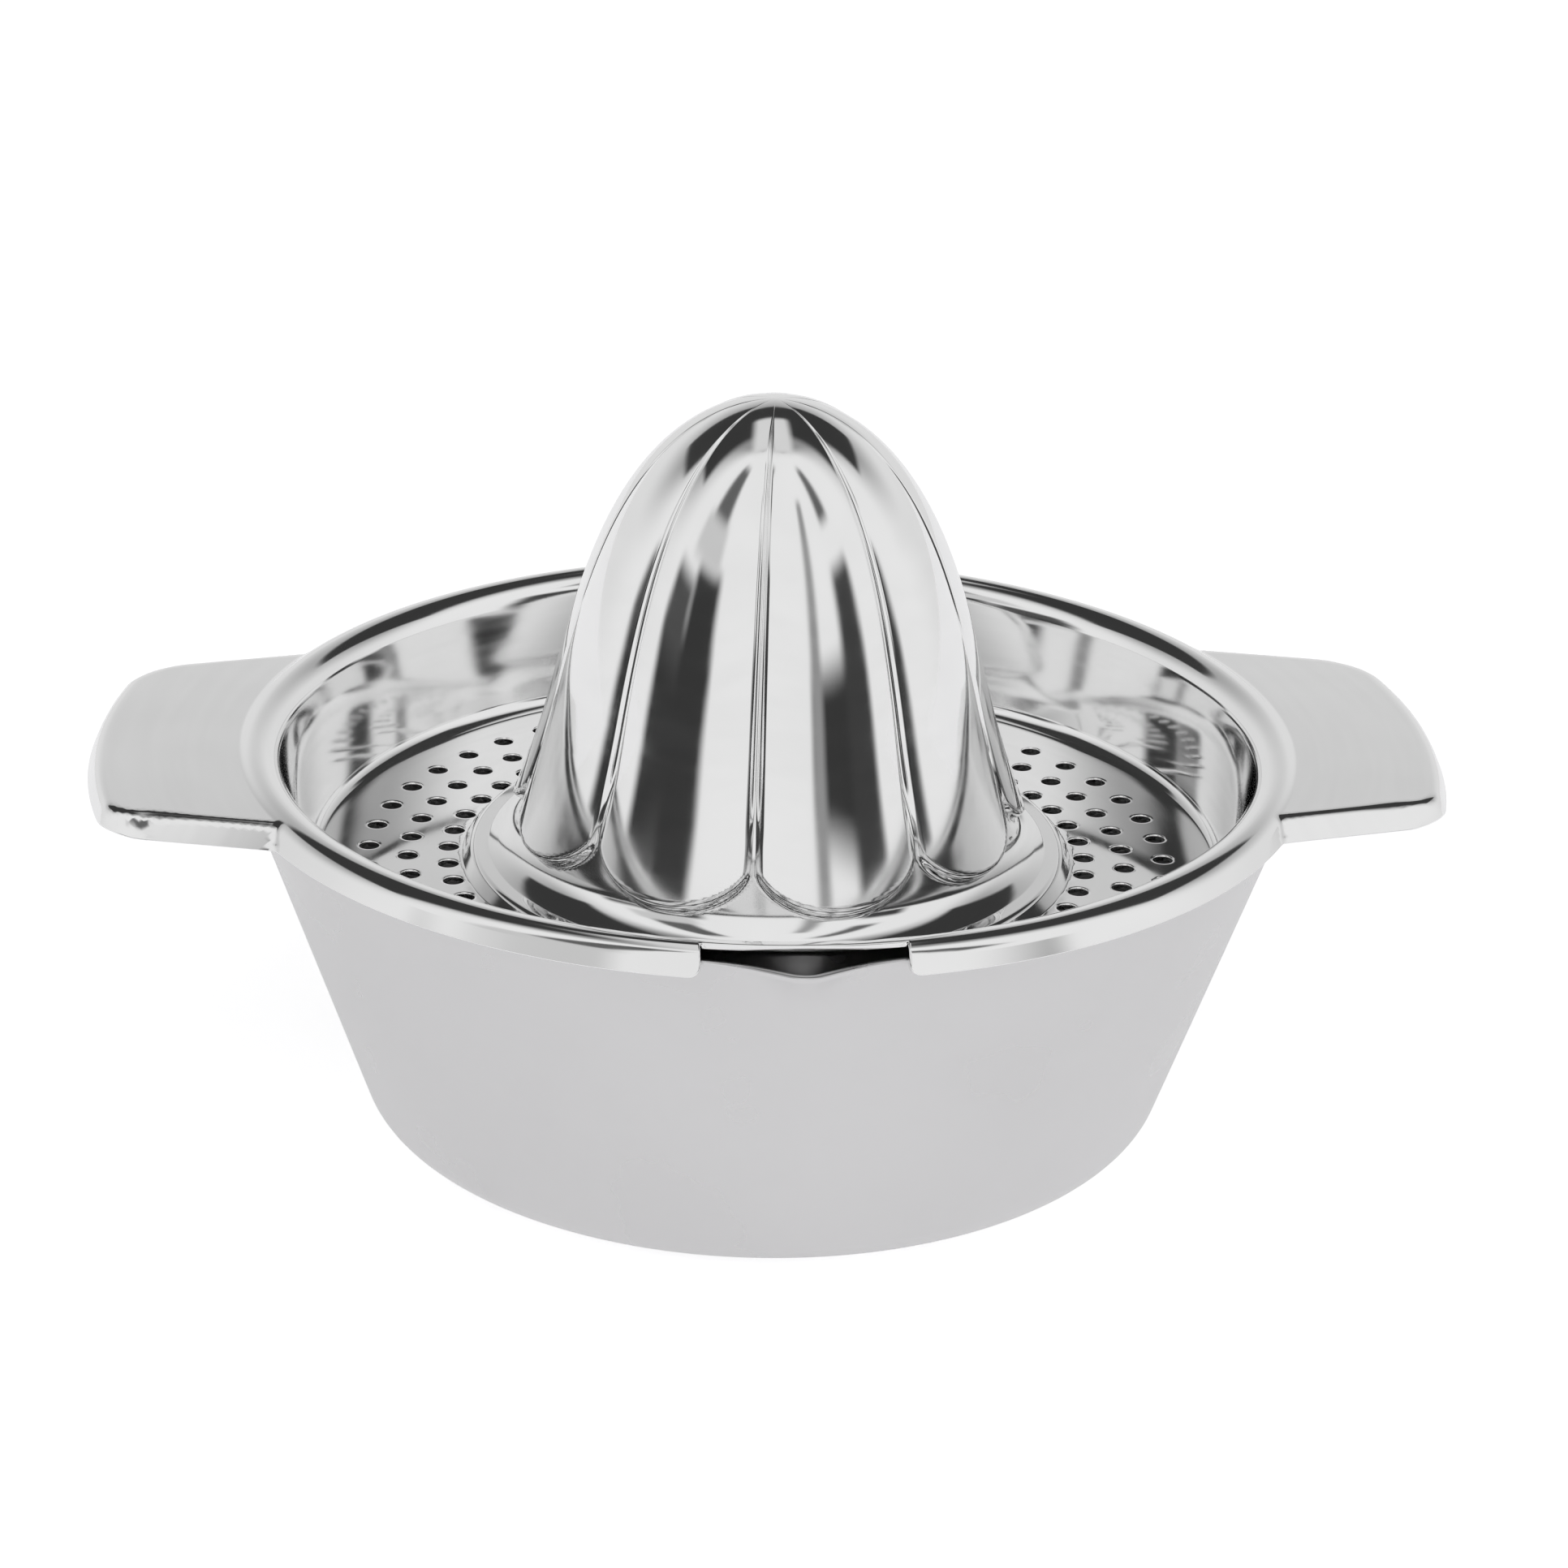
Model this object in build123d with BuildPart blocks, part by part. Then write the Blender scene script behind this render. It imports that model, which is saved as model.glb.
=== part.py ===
from build123d import *
from math import cos, radians, sin, sqrt, tan
import os

# Hand citrus juicer in pressed stainless steel, two pieces.  The bowl catches the juice and has a
# V-shaped pouring lip.  The strainer rests on the bowl's rim and is one pressing: fluted reamer,
# raised foot ring, perforated floor, wall, rolled rim with a turned-down edge, two handle tabs.
#
# Millimetres, +Z up.  The origin is on the juicer's axis, on the surface that it stands on.
# The handle tabs point along +X and -X, and the pouring lip points along -Y.

os.makedirs("parts", exist_ok=True)

# ---------------------------------------------------------------- driving dimensions
sheet = 0.8                      # thickness of both pressed sheets
seat_clearance = 0.3             # bowl rim to the underside of the strainer's rim

# strainer rim
crest_radius = 62.5              # the rim's highest ring
crest_height = 48.15
crest_land = 0.2                 # flat width inside the highest ring
crest_inner_bend = 2.0           # bend from the wall up to the crest
flange_radius = 4.4              # outside radius of the turned-down edge
flange_depth = 3.0               # from the crest down to the turned edge's lower end

# strainer wall and floor
floor_height = 31.45             # top of the perforated floor
wall_draft = 11.5                # degrees off the vertical
wall_foot_bend = 6.0             # bend from the floor to the wall

# handle tabs
plate_drop = 0.6                 # from the crest down to the top of the tabs
tab_reach = 17.6                 # beyond the round rim; the tabs end on an arc about the axis
tab_root_half_width = 30.1       # at the crest's radius along X
tab_taper = 13.2                 # degrees on each side
tab_corner_radius = 7.0
tab_root_radius = 4.0            # between a tab's side and the round rim

# reamer
rib_count = 9
rib_phase = 3.125                # degrees from +X to the middle of a rib
rib_foot_radius = 30.9           # over the ribs, at the foot of the reamer
rib_foot_rise = 2.25             # the ribs' foot above the raised ring
reamer_height = 55.5             # from the ribs' foot to the tip
reamer_taper = 0.137             # radius lost per unit of height
nose_power = 3.5                 # how late the reamer rounds over to its tip
valley_share = 0.89              # radius in a valley over radius on its ribs
section_count = 12

# flared skirt and raised ring at the reamer's foot
flare_width = 3.7                # from the ribs' foot out to the skirt's foot
flare_angle = 44.5               # degrees above the horizontal
flare_inset = 2.5                # how far the skirt runs on inside the valleys
ring_width = 2.3                 # flat top of the ring
ring_slope_width = 1.4
ring_rise = 1.8                  # above the floor
ring_edge_bend = 1.0
ring_inner_bend = 1.5
ring_foot_bend = 0.8

# perforation
hole_diameter = 2.5
hole_ring_pitch = 5.0
hole_margin = 2.4                # outermost pitch circle to the bend of the wall
hole_clearance = 0.3             # innermost holes to the raised ring
holes_per_ring = 48

# bowl
base_step_in = 12.7              # from the highest ring in to where the wall's line meets the table
base_corner_radius = 5.0
rim_step_out = 2.0               # the bare rim's outside, beyond the strainer's highest ring
top_band = 4.4                   # height of the steep band below the rim
top_band_lean = 0.55             # how much the band widens towards the rim
wall_turn_radius = 25.0          # bend between the wall and the band

# pouring lip, and the notch over it in the strainer's turned-down edge
lip_half_width = 9.5
lip_reach = 4.4                  # from the rim to the V's sharp corner, before rounding
lip_point_radius = 4.0
lip_depth = 9.5                  # from the rim down to where the lip fades into the wall
notch_clearance = 2.0            # on each side of the lip
notch_land = 1.0                 # sheet left outside the highest ring, inside the notch
notch_corner_radius = 1.2

# ---------------------------------------------------------------- derived sizes
flange_centre_height = crest_height - flange_radius
flange_bottom = crest_height - flange_depth
flange_outer = crest_radius + flange_radius
plate_height = crest_height - plate_drop
tab_end_radius = flange_outer + tab_reach
below_flange = flange_bottom - flange_radius
below_floor = floor_height - 2 * wall_foot_bend

# The bowl's outer rim edge stays a clearance away from the hollow of the turned-down edge.
bowl_rim_radius = crest_radius + rim_step_out
bowl_height = flange_centre_height + sqrt((flange_radius - sheet - seat_clearance) ** 2 - rim_step_out**2)

notch_half_width = lip_half_width + notch_clearance
notch_ring_radius = crest_radius + notch_land

# Where the straight lines of the strainer's wall meet those of the crest and the floor.
bend_share = tan(radians(90 - wall_draft) / 2)
wall_head_radius = crest_radius - crest_land - crest_inner_bend * bend_share
wall_foot_radius = wall_head_radius - (crest_height - floor_height) * tan(radians(wall_draft))

# The skirt and the raised ring follow the reamer's foot.
ring_height = floor_height + ring_rise
rib_foot_height = ring_height + rib_foot_rise
flare_foot_radius = rib_foot_radius + flare_width
flare_top_radius = valley_share * rib_foot_radius - flare_inset
flare_top_height = ring_height + (flare_foot_radius - flare_top_radius) * tan(radians(flare_angle))
ring_edge_radius = flare_foot_radius + ring_width
ring_foot_radius = ring_edge_radius + ring_slope_width

# As many rings of holes as the flat floor takes, counted inwards from the wall.
outermost_holes = wall_foot_radius - wall_foot_bend * bend_share - hole_margin
innermost_holes = ring_foot_radius + hole_clearance + hole_diameter / 2
hole_ring_count = 1 + int((outermost_holes - innermost_holes) / hole_ring_pitch)


def polar(radius, angle):
    """Point at a radius and an angle in degrees from +X."""
    return (radius * cos(radians(angle)), radius * sin(radians(angle)))


def ends_from_axis(line):
    """Ends of a line of (radius, height) points, the one nearer to the axis first."""
    return sorted((line @ 0, line @ 1), key=lambda end: end.X)


def revolved(line, *closing_points):
    """Solid of revolution of a line of (radius, height) points, closed from its outer end back."""
    inner_end, outer_end = ends_from_axis(line)
    with BuildPart() as body:
        with BuildSketch(Plane.XZ):
            with BuildLine():
                add(line)
                Polyline(outer_end, *closing_points, inner_end)
            make_face()
        revolve(axis=Axis.Z)
    return body.part


def beside(line, distance, side):
    """The same line at a distance to one side."""
    with BuildLine() as parallel:
        offset(line, amount=distance, side=side, closed=False)
    return parallel.line


# ---------------------------------------------------------------- bowl
base_radius = crest_radius - base_step_in
wall_top_radius = bowl_rim_radius - top_band_lean
wall_top_height = bowl_height - top_band
wall_lean = (wall_top_radius - base_radius) / wall_top_height
lip_lean = lip_reach / lip_depth + wall_lean
lip_sharp_radius = bowl_rim_radius + lip_reach
lip_flank_slope = (lip_sharp_radius - sqrt(bowl_rim_radius**2 - lip_half_width**2)) / lip_half_width


def lip_solid(inset, rise):
    """Solid inside the lip's V, drawn in by inset, from a rise above the rim down into the wall."""
    corner = lip_sharp_radius + lip_lean * rise - inset * sqrt(1 + lip_flank_slope**2)
    half_width = 1.5 * lip_half_width
    top = bowl_height + rise
    drop = top - lip_depth * 1.5
    with BuildPart() as body:
        for height, back in ((top, 0), (drop, lip_lean * (top - drop))):
            with BuildSketch(Plane.XY.offset(height)) as section:
                with BuildLine():
                    Polyline(
                        (-half_width, back + lip_flank_slope * half_width - corner),
                        (0, back - corner),
                        (half_width, back + lip_flank_slope * half_width - corner),
                        close=True,
                    )
                make_face()
                fillet(section.vertices().sort_by(Axis.Y)[0], lip_point_radius - inset)
        loft(ruled=True)
    return body.part


with BuildLine() as bowl_outside:
    FilletPolyline(
        (0, 0),
        (base_radius, 0),
        (wall_top_radius, wall_top_height),
        (bowl_rim_radius, bowl_height),
        radius=(base_corner_radius, wall_turn_radius),
    )
bowl_inside = beside(bowl_outside.line, sheet, Side.LEFT)

with BuildPart() as bowl:
    add(revolved(bowl_outside.line, (0, bowl_height)))
    add(lip_solid(0, 0))
    add(revolved(bowl_inside, (0, ends_from_axis(bowl_inside)[1].Y)), mode=Mode.SUBTRACT)
    add(lip_solid(sheet, sheet), mode=Mode.SUBTRACT)

bowl.part.label = "bowl"
export_step(bowl.part, "parts/bowl.step")


# ---------------------------------------------------------------- strainer: rim and tabs
def tab_half_width(x):
    return tab_root_half_width - tan(radians(tab_taper)) * (x - crest_radius)


def rim_and_tabs(inset):
    """Solid under the rim and the tabs, with each face that looks outwards drawn in by inset."""
    bend = flange_radius - inset
    rim_outer = crest_radius + bend
    plate_top = plate_height - inset
    middle, tip = tab_half_width(0), tab_half_width(tab_end_radius)
    with BuildPart() as body:
        with BuildSketch(Plane.XY.offset(below_flange)) as plan:
            with BuildLine():
                Polyline(
                    (0, middle),
                    (tab_end_radius, tip),
                    (tab_end_radius, -tip),
                    (0, -middle),
                    (-tab_end_radius, -tip),
                    (-tab_end_radius, tip),
                    close=True,
                )
            make_face()
            Circle(tab_end_radius, mode=Mode.INTERSECT)
            fillet(plan.vertices().filter_by(lambda v: abs(v.X) > flange_outer), tab_corner_radius)
            Circle(flange_outer)
            roots = plan.vertices().filter_by(lambda v: abs(Vector(v).length - flange_outer) < sheet / 10)
            fillet(roots, tab_root_radius)
            if inset:
                offset(amount=-inset)
        extrude(amount=plate_top - below_flange)
        fillet(body.edges().group_by(Axis.Z)[-1], bend)
        with BuildSketch(Plane.XZ):
            with BuildLine():
                over = Line((0, crest_height - inset), (crest_radius, crest_height - inset))
                turned = RadiusArc(over @ 1, (rim_outer, flange_centre_height), bend)
                Polyline(turned @ 1, (rim_outer, below_flange), (0, below_flange), over @ 0)
            make_face()
        revolve(axis=Axis.Z)
    return body.part


# ---------------------------------------------------------------- strainer: reamer
def rib_radius(rise):
    """Radius over the ribs at a rise above their foot: a cone that rounds over into the tip."""
    return (rib_foot_radius - reamer_taper * rise) * sqrt(1 - (rise / reamer_height) ** nose_power)


def rib_lean(rise):
    """Loss of rib radius per unit of height."""
    step = reamer_height / 1000
    return (rib_radius(rise) - rib_radius(rise + step)) / step


def reamer_solid(inset):
    """Solid of the ribbed reamer, with its surface drawn in by inset."""
    half_pitch = 180 / rib_count
    sections = []
    for step in range(section_count):
        rise = reamer_height * sin(radians(90 * step / section_count))
        steepness = sqrt(1 + rib_lean(rise) ** 2)
        ridge = rib_radius(rise) - inset / steepness
        height = rib_foot_height + rise - inset * rib_lean(rise) / steepness
        with BuildSketch(Plane.XY.offset(height)) as section:
            with BuildLine():
                for rib in range(rib_count):
                    middle = rib_phase + 2 * half_pitch * rib
                    ThreePointArc(
                        polar(valley_share * ridge, middle - half_pitch),
                        polar(ridge, middle),
                        polar(valley_share * ridge, middle + half_pitch),
                    )
            make_face()
        sections.append(section.sketch)
    with BuildPart() as body:
        loft(sections=[*sections, Vertex(0, 0, rib_foot_height + reamer_height - inset)])
    return body.part


# ---------------------------------------------------------------- strainer: skin from flare to rim
with BuildLine() as skin_top:
    FilletPolyline(
        (flare_top_radius, flare_top_height),
        (flare_foot_radius, ring_height),
        (ring_edge_radius, ring_height),
        (ring_foot_radius, floor_height),
        (wall_foot_radius, floor_height),
        (wall_head_radius, crest_height),
        (crest_radius, crest_height),
        radius=(ring_inner_bend, ring_edge_bend, ring_foot_bend, wall_foot_bend, crest_inner_bend),
    )
skin_underside = beside(skin_top.line, sheet, Side.RIGHT)


def skin_solid(line):
    """Solid under the skin, down to a level clear of the floor."""
    return revolved(line, (crest_radius, below_floor), (0, below_floor), (0, ends_from_axis(line)[0].Y))


# ---------------------------------------------------------------- strainer
with BuildPart() as strainer:
    # rolled rim with its turned-down edge, and the tabs
    add(rim_and_tabs(0))
    add(rim_and_tabs(sheet), mode=Mode.SUBTRACT)
    split(bisect_by=Plane.XY.offset(flange_bottom), keep=Keep.TOP)
    with BuildSketch(Plane.XY.offset(flange_bottom)):
        Circle(crest_radius)
        with Locations((0, -flange_outer)):
            Rectangle(2 * notch_half_width, 2 * flange_outer)
        Circle(notch_ring_radius, mode=Mode.SUBTRACT)
        Circle(crest_radius)
    extrude(amount=flange_radius, mode=Mode.SUBTRACT)
    notch_corners = (
        strainer.edges()
        .filter_by(Axis.Y)
        .filter_by(lambda e: abs(abs(e.center().X) - notch_half_width) < sheet / 10 and e.center().Y < 0)
        .filter_by(lambda e: abs(e.center().Z - flange_bottom) < sheet / 10)
    )
    fillet(notch_corners, notch_corner_radius)

    # wall, floor, raised ring and reamer
    add(skin_solid(skin_top.line))
    add(reamer_solid(0))
    add(skin_solid(skin_underside), mode=Mode.SUBTRACT)
    add(reamer_solid(sheet), mode=Mode.SUBTRACT)

    # perforation: every second ring of holes is turned by half a pitch
    with BuildSketch(Plane.XY.offset(floor_height)):
        for ring in range(hole_ring_count):
            turn = (ring + 1) % 2 * 180 / holes_per_ring
            with PolarLocations(outermost_holes - ring * hole_ring_pitch, holes_per_ring, start_angle=turn):
                Circle(hole_diameter / 2)
    extrude(amount=-2 * sheet, mode=Mode.SUBTRACT)

strainer.part.label = "strainer"
export_step(strainer.part, "parts/strainer.step")
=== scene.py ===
import math

import bpy
import numpy as np
from mathutils import Matrix, Vector


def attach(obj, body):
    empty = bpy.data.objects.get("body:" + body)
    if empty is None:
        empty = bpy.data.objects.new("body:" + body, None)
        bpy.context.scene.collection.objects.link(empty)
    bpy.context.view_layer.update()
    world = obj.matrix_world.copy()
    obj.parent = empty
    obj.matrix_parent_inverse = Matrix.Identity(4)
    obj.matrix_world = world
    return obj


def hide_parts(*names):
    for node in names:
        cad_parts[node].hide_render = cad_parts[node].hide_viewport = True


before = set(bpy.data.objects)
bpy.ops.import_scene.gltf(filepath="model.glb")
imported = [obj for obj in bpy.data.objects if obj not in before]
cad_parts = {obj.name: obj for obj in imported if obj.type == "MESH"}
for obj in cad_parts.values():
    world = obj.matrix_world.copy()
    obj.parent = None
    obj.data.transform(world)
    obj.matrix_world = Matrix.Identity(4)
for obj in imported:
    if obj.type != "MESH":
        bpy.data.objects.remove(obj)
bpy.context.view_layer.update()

# Hand citrus juicer in pressed stainless steel.  The two pressings are modelled here as fine meshes
# that stand for the CAD nodes "bowl" and "strainer".  Lengths are in millimetres until a mesh is
# written, and heights are above the table.  The tabs lie along X and the pouring lip along -Y.
# The world is a studio of dark and pale panels, which the polished steel mirrors.

MM = 0.001

# ---------------------------------------------------------------- sizes
# As in the CAD model, apart from those that are marked as the scene's own.
SHEET = 0.8

CREST_RADIUS = 62.5
CREST_HEIGHT = 48.15
CREST_LAND = 0.2
CREST_INNER_BEND = 2.0
FLANGE_RADIUS = 4.4
FLANGE_DEPTH = 3.0
# The scene's own section of the crest and the wall's foot.
INNER_ROUND = 3.2                # radius of the bend on its inner side
CREST_FLAT = 0.02                # between the two bends
OUTER_ROUND = 2.7                # radius of the bend on its outer side
OUTER_LEAN = 58                  # degrees by which the outer skirt leans down
FOOT_ROUND = 2.0                 # radius of the bend at the foot of the wall
# The scene's own turned-down edge of a tab.  Its lean and the distance from the outline where its
# bend begins differ along the front of the tab and round its end and back.
TAB_ROUND = 1.3
TAB_FRONT_LEAN = 38.7
TAB_FRONT_TURN_DEPTH = 4.0
TAB_END_LEAN = 66
TAB_END_TURN_DEPTH = 2.7
TAB_EDGE_CHANGE = 6.0            # length over which the one turns into the other

FLOOR_HEIGHT = 31.45
WALL_DRAFT = 11.5
WALL_FOOT_BEND = 6.0

PLATE_DROP = 0.6
TAB_REACH = 17.6
TAB_ROOT_HALF_WIDTH = 30.1
TAB_TAPER = 13.2
TAB_CORNER_RADIUS = 7.0
TAB_FRONT_CORNER_RADIUS = 5.0    # the scene's own
TAB_ROOT_RADIUS = 4.0
CREASE_BLEND = 0.35              # the scene's own: softness of the step from the rim to a tab

RIB_COUNT = 9
RIB_PHASE = 3.125
RIB_FOOT_RADIUS = 30.9
RIB_FOOT_RISE = 2.25
REAMER_HEIGHT = 55.5
FLARE_WIDTH = 3.7
RING_WIDTH = 2.3
RING_SLOPE_WIDTH = 1.4
RING_RISE = 1.8
RING_EDGE_BEND = 1.0
RING_FOOT_BEND = 0.8
# The scene's own ribs and the skirt under them.  They depart from the solid's: near their feet the
# valleys and the ribs are up to 2.5 mm fuller, and halfway up the ridges are up to 1.2 mm slimmer.
RIDGE_FOOT_RADIUS = 31.4
REAMER_TAPER = 0.23
NOSE_POWER = 5.2                 # how late the cone rounds over into the tip
VALLEY_SHARE = 0.97              # radius of a valley, of the ridge radius
GROOVE_SHARE = 0.045             # further depth of the narrow groove in a valley, of the same
GROOVE_WIDTH = 0.09              # of half a rib
RIB_SPREAD = 0.005              # the ribs spread towards their feet, by this times the square of
RIB_SPREAD_RISE = 20.0           # their depth below this rise
RIB_END_HEIGHT = 4.5             # of a rib's rounded end over the ring, at its middle
RIB_END_DEPTH = 6.3              # from the foot of a valley down to the end of a rib
FLARE_FADE = 1.2                 # height over which the skirt turns from its foot to its steep part
FLARE_TAPER = 0.2                # of the steep part
FLARE_SPREAD = 3.4               # of the foot beyond the steep part
FLARE_TOP = 9.0                  # height above which the skirt ends inside the ribs
FLARE_TURN = 0.03                # how fast it does
FLARE_BLEND = 0.5                # softness where the ribs run out on the skirt
FLARE_END = 0.35                 # height above the raised ring where the skirt passes into it
FLARE_LAND = 0.3                 # how far the corner at the skirt's foot lies outside the solid's
RING_TURN = 0.8                  # radius of the bend in that corner

HOLE_DIAMETER = 2.5
HOLE_RING_PITCH = 5.0
HOLE_MARGIN = 2.4
HOLE_RINGS = 3                   # as many as the floor's width gives in the CAD model
HOLES_PER_RING = 48
INNER_CELL_OVERLAP = 0.1         # how far the cells round the holes start before the ring's foot
OUTER_CELL_GAP = 0.2             # how far they stop before the bend of the wall's foot

BASE_STEP_IN = 12.7
BASE_CORNER_RADIUS = 5.0
BASE_INNER_RADIUS = 6.0          # where the base's rings of points start
RIM_STEP_OUT = 2.0
TOP_BAND = 4.4
TOP_BAND_LEAN = 0.55
WALL_TURN_RADIUS = 25.0
SEAT_CLEARANCE = 0.3

LIP_HALF_WIDTH = 9.5
LIP_REACH = 4.4
LIP_POINT_RADIUS = 4.0
LIP_DEPTH = 9.5
LIP_BLEND = 1.5                  # the scene's own: softness where the lip meets the wall
NOTCH_CLEARANCE = 2.0
NOTCH_LAND = 1.0
NOTCH_CORNER_RADIUS = 1.2

# ---------------------------------------------------------------- mesh density
COLUMNS = 576                    # around the strainer's axis
CELL_COLUMNS = COLUMNS // HOLES_PER_RING
CELL_SIDE_STEPS = 8
ARC_STEP = math.radians(6)       # between points of a bend
RUN_STEP = 1.5                   # between points of a straight run
BOWL_STEP = 1.25                 # degrees between the bowl's columns
LIP_STEP = 0.25                  # the same within the lip's sector
LIP_SECTOR = 12.0                # degrees on each side of the lip
EDGE_ROUNDING = 0.15             # of the cut edges of the sheet
TIP_RING_ANGLES = (89.2, 16, 44)  # elevations of the first and last ring round the tip, and how many
SIDE_RINGS = 48                  # from there down to the skirt's foot, with the last of the tip's
HOLE_LAND = 0.25                 # width of the ring of faces round a hole
HALFWAY = 0.5                    # place of the ring of points between a hole and its cell's sides
CREASE_HALF_WIDTH = 0.6          # of the finer rings where the rim steps down to a tab
CREASE_RINGS = 9
LAND_RINGS = 3                   # between the end of the notch and those
PLATE_SHARE = 0.78               # share of the way out to the edge that has evenly spaced rings
PLATE_RINGS = 18
EDGE_RINGS = 9                   # down a turned-down edge
LIP_COLUMN = COLUMNS * 3 // 4    # the column over the pouring lip
NOTCH_SIDE_COLUMN = 17           # the column at a side of the notch, counted from the lip
NOTCH_SIDE_STEPS = (0, 0.12, 0.4, 0.8, 1.3, 2.0)  # places in X beside the notch of the next columns
HALVINGS = 40                    # in the search for the end of the turned-down edge
LIP_PASSES = 12                  # in the search for the lip's radius

# ---------------------------------------------------------------- derived sizes
FLANGE_CENTRE_HEIGHT = CREST_HEIGHT - FLANGE_RADIUS
FLANGE_BOTTOM = CREST_HEIGHT - FLANGE_DEPTH
FLANGE_OUTER = CREST_RADIUS + FLANGE_RADIUS
PLATE_HEIGHT = CREST_HEIGHT - PLATE_DROP
TAB_END_RADIUS = FLANGE_OUTER + TAB_REACH

BOWL_RIM_RADIUS = CREST_RADIUS + RIM_STEP_OUT
HOLLOW_RADIUS = FLANGE_RADIUS - SHEET - SEAT_CLEARANCE
BOWL_HEIGHT = FLANGE_CENTRE_HEIGHT + math.sqrt(HOLLOW_RADIUS**2 - RIM_STEP_OUT**2)
BASE_RADIUS = CREST_RADIUS - BASE_STEP_IN
WALL_TOP_RADIUS = BOWL_RIM_RADIUS - TOP_BAND_LEAN
WALL_TOP_HEIGHT = BOWL_HEIGHT - TOP_BAND
WALL_LEAN = (WALL_TOP_RADIUS - BASE_RADIUS) / WALL_TOP_HEIGHT
LIP_LEAN = LIP_REACH / LIP_DEPTH + WALL_LEAN
LIP_SHARP_RADIUS = BOWL_RIM_RADIUS + LIP_REACH
LIP_SLOPE = (LIP_SHARP_RADIUS - math.sqrt(BOWL_RIM_RADIUS**2 - LIP_HALF_WIDTH**2)) / LIP_HALF_WIDTH

NOTCH_HALF_WIDTH = LIP_HALF_WIDTH + NOTCH_CLEARANCE
NOTCH_RING_RADIUS = CREST_RADIUS + NOTCH_LAND

BEND_SHARE = math.tan(math.radians(90 - WALL_DRAFT) / 2)
WALL_HEAD_RADIUS = CREST_RADIUS - CREST_LAND - CREST_INNER_BEND * BEND_SHARE
WALL_FOOT_RADIUS = WALL_HEAD_RADIUS - (CREST_HEIGHT - FLOOR_HEIGHT) * math.tan(math.radians(WALL_DRAFT))

CREST_TOP = WALL_HEAD_RADIUS + INNER_ROUND * BEND_SHARE + CREST_FLAT
RING_HEIGHT = FLOOR_HEIGHT + RING_RISE
RIB_FOOT_HEIGHT = RING_HEIGHT + RIB_FOOT_RISE
FLARE_FOOT_RADIUS = RIB_FOOT_RADIUS + FLARE_WIDTH
RING_EDGE_RADIUS = FLARE_FOOT_RADIUS + RING_WIDTH
RING_FOOT_RADIUS = RING_EDGE_RADIUS + RING_SLOPE_WIDTH
FLOOR_RADIUS = WALL_FOOT_RADIUS - WALL_FOOT_BEND * BEND_SHARE
OUTERMOST_HOLES = FLOOR_RADIUS - HOLE_MARGIN
INNER_FLOOR_EDGE = RING_FOOT_RADIUS - INNER_CELL_OVERLAP
OUTER_FLOOR_EDGE = FLOOR_RADIUS - OUTER_CELL_GAP


# ---------------------------------------------------------------- helpers for lines
def smooth_max(a, b, blend):
    """The larger of two values, rounded over where they come within blend of each other."""
    closeness = np.clip(blend - np.abs(a - b), 0, None) / blend
    return np.maximum(a, b) + closeness**2 * blend / 4


def rounded_line(points, radii):
    """Polyline with its inner corners rounded by arcs, as an array of (radius, height) points."""
    corners = [np.array(point, float) for point in points]
    line = [corners[0]]
    for before, corner, after, radius in zip(corners, corners[1:], corners[2:], radii):
        to_before = (before - corner) / np.linalg.norm(before - corner)
        to_after = (after - corner) / np.linalg.norm(after - corner)
        half = math.acos(np.clip(to_before @ to_after, -1, 1)) / 2
        add_run(line, corner + to_before * radius / math.tan(half))
        middle = to_before + to_after
        centre = corner + middle / np.linalg.norm(middle) * radius / math.sin(half)
        arm = line[-1] - centre
        turn = math.pi - 2 * half
        side = math.copysign(1, to_before[1] * to_after[0] - to_before[0] * to_after[1])
        steps = math.ceil(turn / ARC_STEP)
        for step in range(1, steps + 1):
            c, s = math.cos(side * turn * step / steps), math.sin(side * turn * step / steps)
            line.append(centre + np.array((c * arm[0] - s * arm[1], s * arm[0] + c * arm[1])))
    add_run(line, corners[-1])
    return np.array(line)


def add_run(line, end):
    """Adds a straight run to a line, in steps."""
    start = line[-1]
    steps = math.ceil(np.linalg.norm(end - start) / RUN_STEP)
    for step in range(1, steps + 1):
        line.append(start + (end - start) * step / steps)


def ring(radius, height, angles):
    """Points around the axis, with a radius and height that may change with the angle."""
    radius = np.broadcast_to(radius, angles.shape)
    height = np.broadcast_to(height, angles.shape)
    return np.stack((radius * np.cos(angles), radius * np.sin(angles), height), axis=1)


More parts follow.
